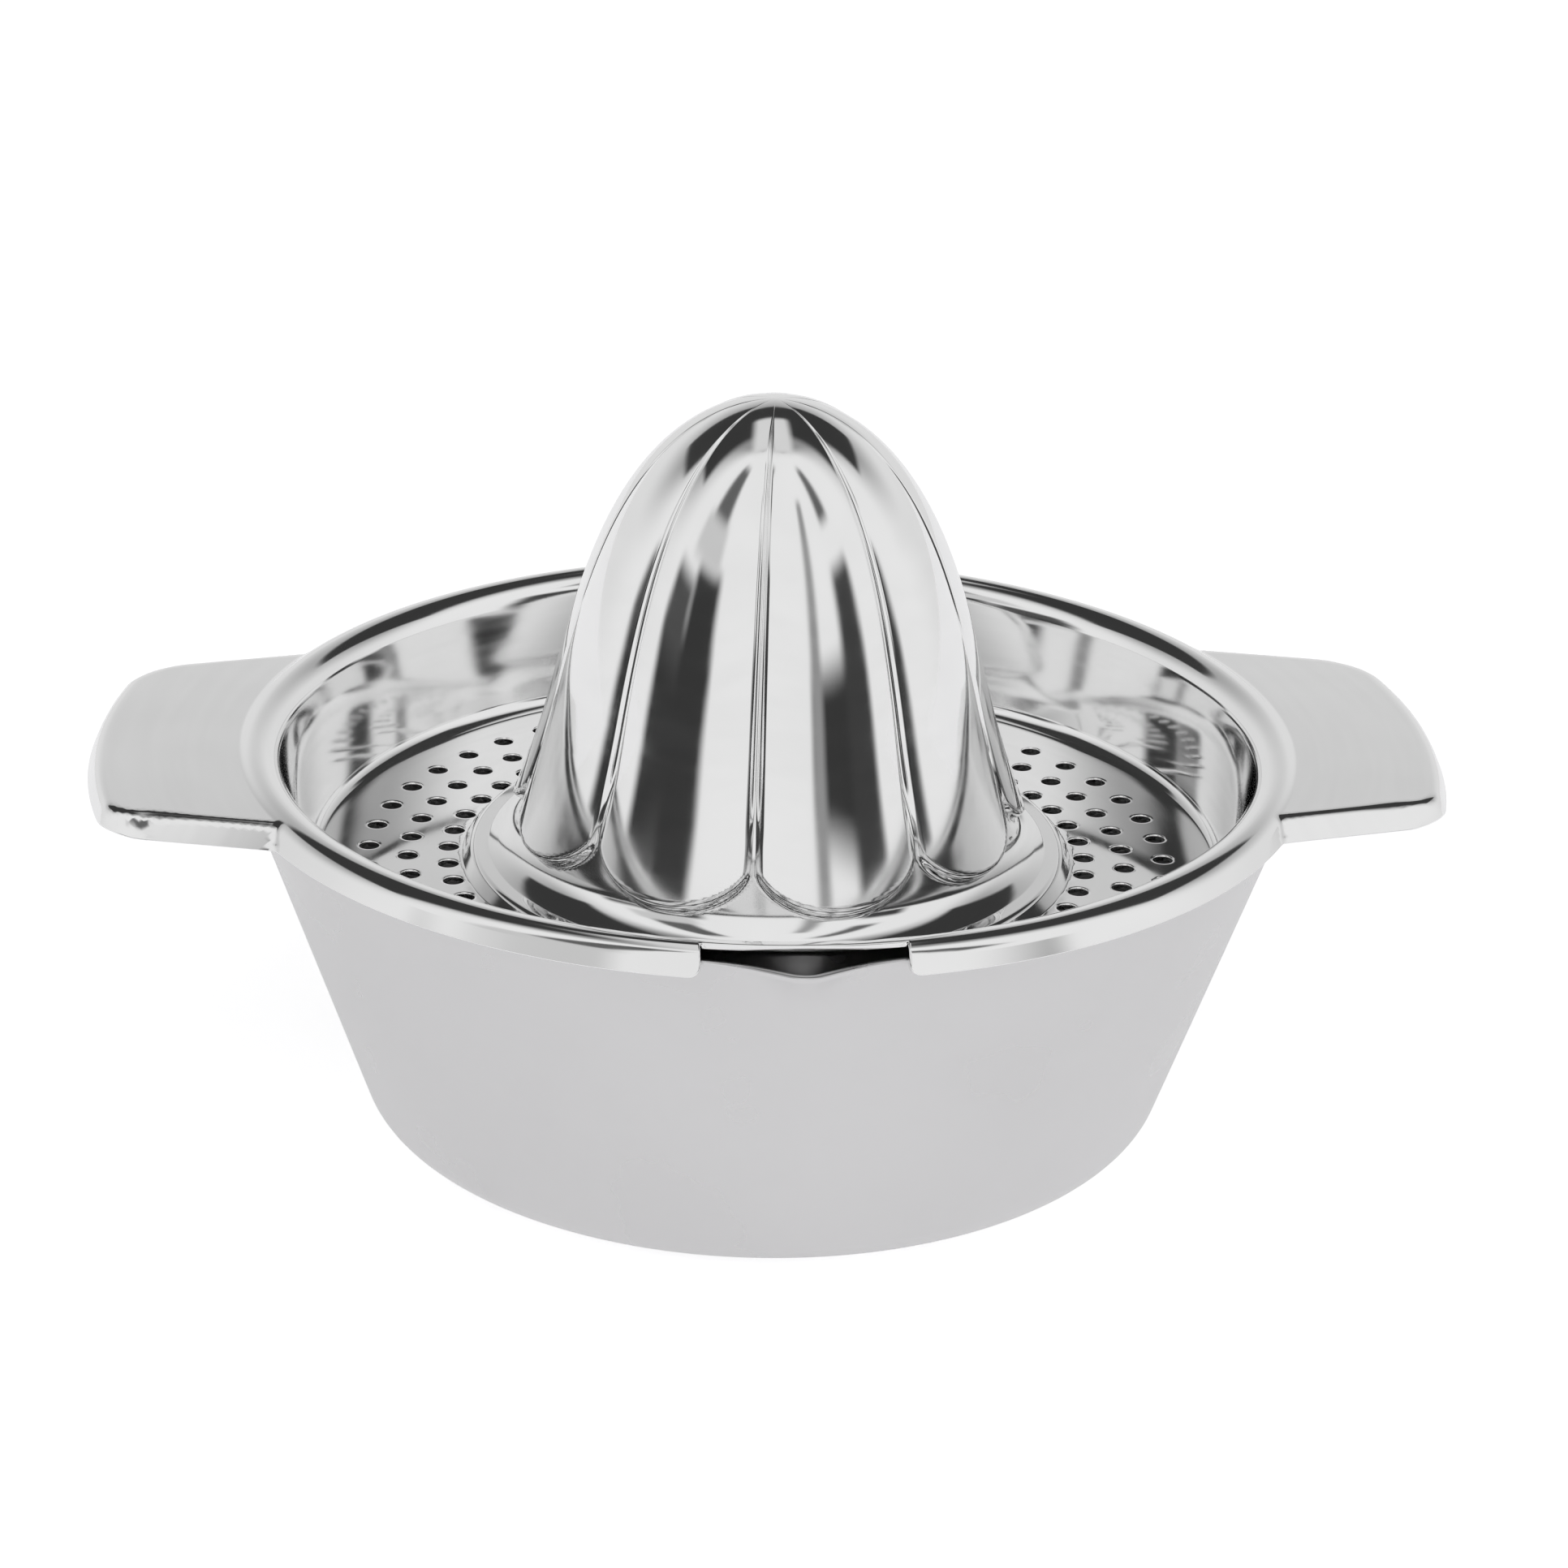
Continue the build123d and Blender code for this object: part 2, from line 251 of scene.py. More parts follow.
# ---------------------------------------------------------------- helpers for meshes
class Skin:
    """The outer face of a pressing: rings of points and the faces between them."""

    def __init__(self):
        self.points = []
        self.faces = []
        self.count = 0

    def add(self, points):
        """Adds points and returns their numbers."""
        points = np.asarray(points, float).reshape(-1, 3)
        numbers = self.count + np.arange(len(points))
        self.points.append(points)
        self.count += len(points)
        return numbers

    def join(self, loop, following_loop, kept=None):
        """Joins two closed loops of equally many points by quads, all or those that kept names."""
        for index in range(len(loop)):
            if kept is None or kept[index]:
                after = (index + 1) % len(loop)
                quad = (loop[index], following_loop[index], following_loop[after], loop[after])
                self.faces.append(quad)

    def close(self, tip, loop):
        """Closes a loop to one point."""
        for index in range(len(loop)):
            self.faces.append((tip, loop[index], loop[(index + 1) % len(loop)]))

    def point(self, number):
        """Place of a point by its number."""
        start = 0
        for points in self.points:
            if number < start + len(points):
                return points[number - start]
            start += len(points)

    def sheet(self, name, edge_height, fade):
        """Makes the piece: the skin, its underside at the sheet's thickness, and rounded cut edges.

        The underside lies along the skin's normals, turned level within fade of edge_height, where
        the sheet is cut off level.
        """
        points = np.concatenate(self.points)
        faces = [tuple(int(number) for number in face) for face in self.faces]
        used = np.zeros(len(points), bool)
        used[[number for face in faces for number in face]] = True
        renumber = np.cumsum(used) - 1
        points = points[used]
        faces = [tuple(int(renumber[number]) for number in face) for face in faces]

        skin = bpy.data.meshes.new("skin")
        skin.from_pydata((points * MM).tolist(), [], faces)
        normals = np.array([vertex.vector for vertex in skin.vertex_normals])
        bpy.data.meshes.remove(skin)

        level = np.clip(np.abs(points[:, 2] - edge_height) / fade, 0, 1)
        inward = -normals * np.stack((np.ones_like(level), np.ones_like(level), level), axis=1)
        inward *= -SHEET / np.einsum("ij,ij->i", inward, normals)[:, None]
        under = points + inward
        count = len(points)
        all_points = [points, under]
        all_faces = faces + [tuple(number + count for number in reversed(face)) for face in faces]

        # The open edges of the skin are those that no second face takes the other way.
        edges = {}
        for face in faces:
            for start, end in zip(face, face[1:] + face[:1]):
                if edges.pop((end, start), None) is None:
                    edges[(start, end)] = True
        rim = sorted({number for edge in edges for number in edge})
        place = {number: index for index, number in enumerate(rim)}
        along = np.zeros((len(rim), 3))
        # Each gets a rounded cut edge, on the side away from its face.
        for start, end in edges:
            direction = points[end] - points[start]
            direction /= np.linalg.norm(direction)
            along[place[start]] += direction
            along[place[end]] += direction
        through = inward[rim] / np.linalg.norm(inward[rim], axis=1)[:, None]
        outward = np.cross(through, along)
        outward /= np.linalg.norm(outward, axis=1)[:, None]
        loops = [np.array(rim)]
        total = 2 * count
        for base, sign, angles in ((points[rim], 1, (45, 90)), (under[rim], -1, (90, 45))):
            for angle in angles:
                bulge = EDGE_ROUNDING * math.sin(math.radians(angle))
                depth = EDGE_ROUNDING * (1 - math.cos(math.radians(angle))) * sign
                all_points.append(base + bulge * outward + depth * through)
                loops.append(total + np.arange(len(rim)))
                total += len(rim)
        loops.append(np.array(rim) + count)
        for start, end in edges:
            for upper, lower in zip(loops, loops[1:]):
                face = (upper[place[end]], upper[place[start]], lower[place[start]], lower[place[end]])
                all_faces.append(tuple(int(number) for number in face))

        mesh = bpy.data.meshes.new(name)
        mesh.from_pydata((np.concatenate(all_points) * MM).tolist(), [], all_faces)
        mesh.shade_smooth()
        piece = bpy.data.objects.new(name, mesh)
        bpy.context.scene.collection.objects.link(piece)
        return piece


# ---------------------------------------------------------------- strainer: reamer
def rib_radius(rise):
    """Radius over the ribs at a rise above their foot: a cone that rounds over into the tip."""
    cone = RIDGE_FOOT_RADIUS - REAMER_TAPER * rise
    spread = RIB_SPREAD * max(RIB_SPREAD_RISE - rise, 0) ** 2
    return cone * math.sqrt(1 - (max(rise, 0) / REAMER_HEIGHT) ** NOSE_POWER) + spread


def across_rib(angles):
    """Place across a rib in each direction: 0 on its ridge, 1 in the valleys beside it."""
    pitch = 2 * math.pi / RIB_COUNT
    return np.abs((angles - math.radians(RIB_PHASE) + pitch / 2) % pitch - pitch / 2) * 2 / pitch


def rib_outline(across):
    """Share of the ridge radius in each direction: flat arcs that meet in narrow grooves."""
    groove = np.clip((across - 1 + GROOVE_WIDTH) / GROOVE_WIDTH, 0, 1)
    return 1 - (1 - VALLEY_SHARE) * across**2 - GROOVE_SHARE * groove**2


def flare_radius(height):
    """Radius of the skirt at a height above the raised ring."""
    steep = FLARE_FOOT_RADIUS - FLARE_SPREAD - FLARE_TAPER * height
    foot = FLARE_SPREAD * math.exp(-height / FLARE_FADE)
    return steep + foot - FLARE_TURN * max(height - FLARE_TOP, 0) ** 2


def reamer_rings(angles):
    """Rings of points from just under the tip down to the foot of the skirt."""
    across = across_rib(angles)
    outline = rib_outline(across)
    rib_end = RIB_END_HEIGHT + RIB_END_DEPTH * (1 - np.sqrt(1 - across**2))
    rises = [REAMER_HEIGHT * math.sin(math.radians(angle)) for angle in np.linspace(*TIP_RING_ANGLES)]
    rises += list(np.linspace(rises[-1], FLARE_END - RIB_FOOT_RISE, SIDE_RINGS)[1:])
    for rise in rises:
        flare = flare_radius(rise + RIB_FOOT_RISE)
        rib = rib_radius(rise) * outline - np.clip(rib_end - rise - RIB_FOOT_RISE, 0, None) ** 2
        yield ring(smooth_max(rib, flare, FLARE_BLEND), RIB_FOOT_HEIGHT + rise, angles)


# ---------------------------------------------------------------- strainer: rim and tabs
def tab_depth(x, y):
    """How far a point lies inside the outline of the tabs; negative outside."""
    taper = math.radians(TAB_TAPER)
    corner = np.where(y > 0, TAB_CORNER_RADIUS, TAB_FRONT_CORNER_RADIUS)
    reach = np.abs(x) - CREST_RADIUS
    side = (TAB_ROOT_HALF_WIDTH - np.abs(y)) * math.cos(taper) - reach * math.sin(taper) - corner
    end = TAB_END_RADIUS - corner - np.hypot(x, y)
    inside = np.minimum(side, end)
    outside = np.hypot(np.minimum(side, 0), np.minimum(end, 0))
    return np.where(inside > 0, inside, -outside) + corner


def front_share(x, y):
    """1 along the front of a tab, 0 round its end and back, smooth between."""
    taper = math.radians(TAB_TAPER)
    side = (TAB_ROOT_HALF_WIDTH + y) * math.cos(taper) - (np.abs(x) - CREST_RADIUS) * math.sin(taper)
    end = TAB_END_RADIUS - np.hypot(x, y)
    return np.where(y < 0, np.clip(0.5 + (end - side) / TAB_EDGE_CHANGE, 0, 1), 0)


def outline_depth(x, y):
    """How far a point lies inside the outline of the tabs and the round rim, with rounded roots."""
    tab = tab_depth(x, y)
    rim = FLANGE_OUTER - np.hypot(x, y)
    rounded = TAB_ROOT_RADIUS - np.hypot(
        np.clip(TAB_ROOT_RADIUS - tab, 0, None), np.clip(TAB_ROOT_RADIUS - rim, 0, None)
    )
    return np.maximum(np.maximum(tab, rim), rounded)


def turned_down(out, bend, lean):
    """Drop of a turned-down edge at a distance outwards: a bend, then a straight lean in degrees."""
    lean = np.radians(lean)
    out = np.clip(out, 0, None)
    bent = bend - np.sqrt(bend**2 - np.minimum(out, bend * np.sin(lean)) ** 2)
    return bent + np.clip(out - bend * np.sin(lean), 0, None) * np.tan(lean)


def rim_height(x, y):
    """Height of the pressing's upper face over the rim and the tabs."""
    rolled = CREST_HEIGHT - turned_down(np.hypot(x, y) - CREST_TOP, OUTER_ROUND, OUTER_LEAN)
    front = front_share(x, y)
    turn_depth = TAB_END_TURN_DEPTH + front * (TAB_FRONT_TURN_DEPTH - TAB_END_TURN_DEPTH)
    lean = TAB_END_LEAN + front * (TAB_FRONT_LEAN - TAB_END_LEAN)
    out = turn_depth - np.clip(outline_depth(x, y), -1, turn_depth)
    plate = PLATE_HEIGHT - turned_down(out, TAB_ROUND, lean)
    return smooth_max(rolled, plate, CREASE_BLEND)


def rim_end(angles, edge_height):
    """Radius in each direction at which the turned-down edge comes to a height."""
    near = np.full(angles.shape, CREST_TOP)
    far = np.full(angles.shape, TAB_END_RADIUS)
    for _ in range(HALVINGS):
        middle = (near + far) / 2
        x, y = middle * np.cos(angles), middle * np.sin(angles)
        inside = (outline_depth(x, y) > 0) & (rim_height(x, y) > edge_height)
        near, far = np.where(inside, middle, near), np.where(inside, far, middle)
    return near


def notch_turn(angles, radius):
    """Direction of each column at a radius, or at one for each, with some set along the notch."""
    turned = angles.copy()
    radius = np.broadcast_to(radius, angles.shape)
    share = np.clip((radius - WALL_HEAD_RADIUS) / (CREST_RADIUS - WALL_HEAD_RADIUS), 0, 1)
    for side in (-1, 1):
        for step, beside_notch in enumerate(NOTCH_SIDE_STEPS):
            column = LIP_COLUMN + side * (NOTCH_SIDE_COLUMN + step)
            x = side * (NOTCH_HALF_WIDTH + EDGE_ROUNDING + beside_notch)
            set_angle = math.asin(x / max(radius[column], CREST_RADIUS)) + 1.5 * math.pi
            turned[column] += share[column] * (set_angle - turned[column])
    return turned


# ---------------------------------------------------------------- strainer: the whole pressing
def make_strainer():
    """The strainer with its reamer, as one sheet."""
    skin = Skin()
    angles = np.arange(COLUMNS) * 2 * math.pi / COLUMNS

    # reamer
    tip = skin.add((0, 0, RIB_FOOT_HEIGHT + REAMER_HEIGHT))[0]
    last = None
    for points in reamer_rings(angles):
        numbers = skin.add(points)
        if last is None:
            skin.close(tip, numbers)
        else:
            skin.join(last, numbers)
        last = numbers

    # skirt, raised ring, floor and wall
    flare_start = flare_radius(FLARE_END)
    line = rounded_line(
        (
            (flare_start, RING_HEIGHT + FLARE_END),
            (FLARE_FOOT_RADIUS + FLARE_LAND, RING_HEIGHT),
            (RING_EDGE_RADIUS, RING_HEIGHT),
            (RING_FOOT_RADIUS, FLOOR_HEIGHT),
            (WALL_FOOT_RADIUS, FLOOR_HEIGHT),
            (WALL_HEAD_RADIUS, CREST_HEIGHT),
            (CREST_TOP, CREST_HEIGHT),
        ),
        (RING_TURN, RING_EDGE_BEND, RING_FOOT_BEND, FOOT_ROUND, INNER_ROUND),
    )
    # The floor's rings of cells meet halfway between their rings of holes.
    hole_radii = [OUTERMOST_HOLES - HOLE_RING_PITCH * index for index in reversed(range(HOLE_RINGS))]
    between = [radius + HOLE_RING_PITCH / 2 for radius in hole_radii[:-1]]
    floor_edges = [INNER_FLOOR_EDGE, *between, OUTER_FLOOR_EDGE]
    for radius, height in line[1:]:
        if radius < floor_edges[0]:
            numbers = skin.add(ring(radius, height, angles))
            skin.join(last, numbers)
            last = numbers
    edges = [skin.add(ring(radius, np.interp(radius, *line.T), angles)) for radius in floor_edges]
    skin.join(last, edges[0])
    for index, hole_radius in enumerate(hole_radii):
        first = (HOLE_RINGS - 1 - index) % 2 * CELL_COLUMNS // 2
        add_hole_ring(skin, edges[index], edges[index + 1], hole_radius, first, angles, line)
    last = edges[-1]
    for radius, height in line[:-1]:
        if radius > floor_edges[-1] + EDGE_ROUNDING:
            numbers = skin.add(ring(radius, height, notch_turn(angles, radius)))
            skin.join(last, numbers)
            last = numbers

    # rim and tabs
    add_rim(skin, last, angles)
    return skin.sheet("strainer_pressing", FLANGE_BOTTOM + EDGE_ROUNDING, SHEET)


def add_hole_ring(skin, inner, outer, hole_radius, first, angles, line):
    """Fills the floor between two rings of points with cells, each round a hole.

    first is the column where a cell starts, and line is the pressing's section.
    """
    inner_radius = float(np.linalg.norm(skin.point(inner[0])[:2]))
    outer_radius = float(np.linalg.norm(skin.point(outer[0])[:2]))
    sides = {}
    side_radii = np.linspace(inner_radius, outer_radius, CELL_SIDE_STEPS + 1)[1:-1]
    for column in range(first, COLUMNS + first, CELL_COLUMNS):
        angle = angles[column % COLUMNS]
        heights = np.interp(side_radii, *line.T)
        points = np.stack((side_radii * math.cos(angle), side_radii * math.sin(angle), heights), axis=1)
        sides[column % COLUMNS] = list(skin.add(points))
    for column in range(first, COLUMNS + first, CELL_COLUMNS):
        start, end = column % COLUMNS, (column + CELL_COLUMNS) % COLUMNS
        across = [(column + step) % COLUMNS for step in range(CELL_COLUMNS + 1)]
        loop = [inner[start], *sides[start]]
        loop += [outer[index] for index in across]
        loop += [*reversed(sides[end])]
        loop += [inner[index] for index in reversed(across[1:])]
        bounds = np.array([skin.point(number) for number in loop])
        middle_angle = (column + CELL_COLUMNS / 2) * 2 * math.pi / COLUMNS
        centre = hole_radius * np.array((math.cos(middle_angle), math.sin(middle_angle)))
        arms = bounds[:, :2] - centre
        lengths = np.linalg.norm(arms, axis=1)[:, None]
        edge = HOLE_DIAMETER / 2 + EDGE_ROUNDING
        last = loop
        for spread, circle in ((HALFWAY, edge + HOLE_LAND), (0, edge + HOLE_LAND), (0, edge)):
            plan = centre + arms / lengths * (circle + (lengths - circle) * spread)
            heights = np.interp(np.linalg.norm(plan, axis=1), *line.T)
            numbers = skin.add(np.column_stack((plan, heights)))
            for index in range(len(loop)):
                after = (index + 1) % len(loop)
                skin.faces.append((last[index], last[after], numbers[after], numbers[index]))
            last = numbers


def add_rim_ring(skin, last, angles, radius, kept=None):
    """Adds a ring of points on the rim, joins it to the last one and returns it."""
    turned = notch_turn(angles, radius)
    height = rim_height(radius * np.cos(turned), radius * np.sin(turned))
    numbers = skin.add(ring(radius, height, turned))
    skin.join(last, numbers, kept)
    return numbers


def add_rim(skin, last, angles):
    """Adds the crest, the turned-down edge and the tabs, open at the notch over the pouring lip."""
    columns = (np.arange(COLUMNS) - LIP_COLUMN + COLUMNS // 2) % COLUMNS - COLUMNS // 2
    kept_faces = ~((columns >= -NOTCH_SIDE_COLUMN) & (columns < NOTCH_SIDE_COLUMN))
    for radius in (CREST_TOP, NOTCH_RING_RADIUS):
        last = add_rim_ring(skin, last, angles, radius)
    crease = CREST_TOP + math.sqrt(OUTER_ROUND**2 - (OUTER_ROUND - PLATE_DROP) ** 2)
    crease_radii = crease + np.linspace(-CREASE_HALF_WIDTH, CREASE_HALF_WIDTH, CREASE_RINGS)
    land_radii = np.linspace(NOTCH_RING_RADIUS, crease_radii[0], LAND_RINGS + 2)[1:-1]
    for radius in (*land_radii, *crease_radii):
        last = add_rim_ring(skin, last, angles, radius, kept_faces)
    start = crease_radii[-1]
    turned = notch_turn(angles, FLANGE_OUTER)
    edge_height = np.full(COLUMNS, FLANGE_BOTTOM + EDGE_ROUNDING)
    beside_notch = FLANGE_OUTER * np.abs(np.cos(turned)) - NOTCH_HALF_WIDTH - EDGE_ROUNDING
    cut = np.clip(1 - beside_notch / NOTCH_CORNER_RADIUS, 0, 1)
    near_notch = np.abs(columns) < 3 * NOTCH_SIDE_COLUMN
    edge_height += np.where(near_notch, NOTCH_CORNER_RADIUS * (1 - np.sqrt(1 - cut**2)), 0)
    end = rim_end(turned, edge_height)
    # Evenly over a tab's plate, and finer down its turned-down edge.
    plate_shares = np.linspace(0, PLATE_SHARE, PLATE_RINGS + 1)[1:]
    edge_turns = np.linspace(0, math.pi / 2, EDGE_RINGS + 1)[1:]
    edge_shares = PLATE_SHARE + (1 - PLATE_SHARE) * np.sin(edge_turns)
    for share in (*plate_shares, *edge_shares):
        last = add_rim_ring(skin, last, angles, start + (end - start) * share, kept_faces)


# ---------------------------------------------------------------- bowl
def lip_radius(angles, height):
    """Radius of the lip's V in each direction at a height."""
    corner = LIP_SHARP_RADIUS - LIP_LEAN * (BOWL_HEIGHT - height)
    steepness = math.sqrt(1 + LIP_SLOPE**2)
    tangent = LIP_POINT_RADIUS * LIP_SLOPE / steepness
    off = angles + math.pi / 2
    radius = np.full(angles.shape, corner)
    for _ in range(LIP_PASSES):
        x = np.abs(radius * np.sin(off))
        arc = LIP_POINT_RADIUS * steepness - np.sqrt(np.clip(LIP_POINT_RADIUS**2 - x**2, 0, None))
        radius = (corner - np.where(x < tangent, arc, LIP_SLOPE * x)) / np.cos(off)
    return radius


def make_bowl():
    """The bowl with its pouring lip, as one sheet."""
    skin = Skin()
    line = rounded_line(
        (
            (BOWL_RIM_RADIUS, BOWL_HEIGHT - EDGE_ROUNDING),
            (WALL_TOP_RADIUS, WALL_TOP_HEIGHT),
            (BASE_RADIUS, 0),
            (BASE_INNER_RADIUS, 0),
        ),
        (WALL_TURN_RADIUS, BASE_CORNER_RADIUS),
    )[::-1]
    coarse = np.arange(-90 + LIP_SECTOR, 270 - LIP_SECTOR, BOWL_STEP)
    fine = np.arange(270 - LIP_SECTOR, 270 + LIP_SECTOR, LIP_STEP)
    angles = np.radians(np.concatenate((coarse, fine)))
    off_lip = (np.degrees(angles) + 90 + 180) % 360 - 180
    near_lip = np.abs(off_lip) < LIP_SECTOR * 2
    lip_angles = np.where(near_lip, np.radians(off_lip), 0) - math.pi / 2

    centre = skin.add((0, 0, 0))[0]
    last = None
    for radius, height in line:
        if height > WALL_TOP_HEIGHT - 3 * LIP_DEPTH:
            lip = np.where(near_lip, lip_radius(lip_angles, height), 0)
            radius = smooth_max(radius, lip, LIP_BLEND)
        numbers = skin.add(ring(radius, height, angles))
        if last is None:
            skin.close(centre, numbers[::-1])
        else:
            skin.join(numbers, last)
        last = numbers
    return skin.sheet("bowl_pressing", BOWL_HEIGHT - EDGE_ROUNDING, 4 * SHEET)


# ---------------------------------------------------------------- materials
GRAIN_SCALE = 550                # lines per metre, about
GRAIN_TURNS = 3                  # how often the lines change round the axis
GRAIN_DETAIL = 1.5
BLOTCH_SCALE = 45                # per metre
BLOTCH_DETAIL = 3.0
WAVE_SCALE = 55                  # per metre
WAVE_DETAIL = 1.0
NOISE_RANGE = (0.35, 0.65)       # part of the noise that the roughness and the tint follow
LEAST_RADIUS = 0.001             # in metres, which keeps the grain's turn finite on the axis


class Nodes:
    """Short ways to add nodes to a tree."""

    def __init__(self, tree):
        self.tree = tree

    def add(self, kind):
        return self.tree.nodes.new(kind)

    def link(self, output, socket):
        self.tree.links.new(output, socket)

    def feed(self, socket, value):
        """Sets a socket to a number, or links it to an output."""
        if isinstance(value, (int, float, tuple)):
            socket.default_value = value
        else:
            self.link(value, socket)

    def math(self, operation, *values):
        node = self.add("ShaderNodeMath")
        node.operation = operation
        for socket, value in zip(node.inputs, values):
            self.feed(socket, value)
        return node.outputs[0]

    def ramp(self, value, low, high, to_low=0.0, to_high=1.0):
        """Smooth step of a value from low to high."""
        node = self.add("ShaderNodeMapRange")
        node.interpolation_type = "SMOOTHSTEP"
        for socket, number in zip(node.inputs, (value, low, high, to_low, to_high)):
            self.feed(socket, number)
        return node.outputs[0]

    def within(self, value, low, high, soft):
        """1 where a value lies between low and high, with soft edges."""
        rise = self.ramp(value, low - soft, low + soft)
        fall = self.ramp(value, high - soft, high + soft, 1.0, 0.0)
        return self.math("MULTIPLY", rise, fall)

    def patch(self, first, second, limits, soft):
        """1 where two values lie within limits, from and to for each, with soft edges."""
        in_first = self.within(first, *limits[:2], soft)
        return self.math("MULTIPLY", in_first, self.within(second, *limits[2:], soft))

    def noise(self, place, scale, detail):
        node = self.add("ShaderNodeTexNoise")
        self.link(place, node.inputs["Vector"])
        node.inputs["Scale"].default_value = scale
        node.inputs["Detail"].default_value = detail
        return node.outputs[0]

    def mix(self, share, first, second):
        """Number between two numbers."""
        node = self.add("ShaderNodeMix")
        for socket, value in zip((node.inputs[0], node.inputs[2], node.inputs[3]), (share, first, second)):
            self.feed(socket, value)
        return node.outputs[0]


def steel(name, tint, tint_change, roughness, grain_share, grain, wave):
    """Pressed steel: grain from spinning and polishing round the axis, blotches, and a wavy sheet.

    roughness is (lowest, highest), grain_share is how much of the change in roughness and tint is
    grain and not blotches, and grain and wave are the heights of the grain and of the sheet's waves
    in metres.
    """
    material = bpy.data.materials.new(name)
    material.use_nodes = True
    nodes = Nodes(material.node_tree)
    shader = material.node_tree.nodes["Principled BSDF"]
    shader.inputs["Metallic"].default_value = 1

    place = nodes.add("ShaderNodeTexCoord").outputs["Object"]
    split = nodes.add("ShaderNodeSeparateXYZ")
    nodes.link(place, split.inputs[0])
    x, y, z = split.outputs
    squares = [nodes.math("MULTIPLY", part, part) for part in (x, y)]
    radius = nodes.math("SQRT", nodes.math("ADD", *squares))
    turned_by = nodes.math("DIVIDE", GRAIN_TURNS, nodes.math("MAXIMUM", radius, LEAST_RADIUS))
    round_axis = nodes.add("ShaderNodeCombineXYZ")
    nodes.feed(round_axis.inputs[0], nodes.math("MULTIPLY", nodes.math("ADD", radius, z), GRAIN_SCALE))
    nodes.feed(round_axis.inputs[1], nodes.math("MULTIPLY", x, turned_by))
    nodes.feed(round_axis.inputs[2], nodes.math("MULTIPLY", y, turned_by))
    lines = nodes.noise(round_axis.outputs[0], 1.0, GRAIN_DETAIL)
    blotches = nodes.noise(place, BLOTCH_SCALE, BLOTCH_DETAIL)
    swell = nodes.noise(place, WAVE_SCALE, WAVE_DETAIL)

    share = nodes.mix(grain_share, blotches, lines)
    nodes.link(nodes.ramp(share, *NOISE_RANGE, *roughness), shader.inputs["Roughness"])
    colour = nodes.add("ShaderNodeMix")
    colour.data_type = "RGBA"
    nodes.link(nodes.ramp(share, *NOISE_RANGE), colour.inputs[0])
    # A Mix node's sockets 6 and 7 are its two colours.
    colour.inputs[6].default_value = (*(part - tint_change for part in tint), 1)
    colour.inputs[7].default_value = (*(part + tint_change for part in tint), 1)
    nodes.link(colour.outputs[2], shader.inputs["Base Color"])

    normal = None
    for height, distance in ((swell, wave), (lines, grain)):
        bump = nodes.add("ShaderNodeBump")
        bump.inputs["Strength"].default_value = 1
        bump.inputs["Distance"].default_value = distance
        nodes.link(height, bump.inputs["Height"])
        if normal:
            nodes.link(normal, bump.inputs["Normal"])
        normal = bump.outputs[0]
    nodes.link(normal, shader.inputs["Normal"])
    return material


# ---------------------------------------------------------------- pieces
polished = steel(
    "polished_steel",
    tint=(0.9, 0.9, 0.9),
    tint_change=0.02,
    roughness=(0.05, 0.1),
    grain_share=0.4,
    grain=1e-6,
    wave=6e-5,
)
strainer = make_strainer()
strainer.data.materials.append(polished)
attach(strainer, "strainer")
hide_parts("strainer")

satin = steel(
    "satin_steel",
    tint=(0.72, 0.715, 0.72),
    tint_change=0.012,
    roughness=(0.26, 0.34),
    grain_share=0.0,
    grain=1e-7,
    wave=1e-4,
)
bowl = make_bowl()
bowl.data.materials.append(satin)
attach(bowl, "bowl")
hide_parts("bowl")

# ---------------------------------------------------------------- floor
FLOOR_HALF = 3.0                 # half its side, in metres
FLOOR_COLOUR = (0.8, 0.8, 0.81, 1)
FLOOR_ROUGHNESS = 0.6
FLOOR_GLOW = 0.66                # as the camera sees it
MIRRORED_FLOOR_GLOW = 0.42       # as it is mirrored in the steel
floor_mesh = bpy.data.meshes.new("floor")
floor_signs = ((-1, -1), (1, -1), (1, 1), (-1, 1))
floor_corners = [(x * FLOOR_HALF, y * FLOOR_HALF, 0) for x, y in floor_signs]
floor_mesh.from_pydata(floor_corners, [], [(0, 1, 2, 3)])
floor = bpy.data.objects.new("floor", floor_mesh)
bpy.context.scene.collection.objects.link(floor)
floor_material = bpy.data.materials.new("pale_floor")
floor_material.use_nodes = True
nodes = Nodes(floor_material.node_tree)
shader = floor_material.node_tree.nodes["Principled BSDF"]
shader.inputs["Base Color"].default_value = FLOOR_COLOUR
shader.inputs["Roughness"].default_value = FLOOR_ROUGHNESS
shader.inputs["Specular IOR Level"].default_value = 0
shader.inputs["Emission Color"].default_value = (1, 1, 1, 1)
path = nodes.add("ShaderNodeLightPath")
seen = nodes.math("MULTIPLY", path.outputs["Is Camera Ray"], FLOOR_GLOW)
mirrored = nodes.math("MULTIPLY", path.outputs["Is Glossy Ray"], MIRRORED_FLOOR_GLOW)
nodes.link(nodes.math("ADD", seen, mirrored), shader.inputs["Emission Strength"])
floor.data.materials.append(floor_material)

# ---------------------------------------------------------------- world
# A studio with pale surroundings, dark and pale panels and a dark ceiling, which the steel mirrors.
# The camera sees plain white.  Angles are in degrees, and azimuths run from -Y towards +X.
STUDIO_LEVEL = 0.85
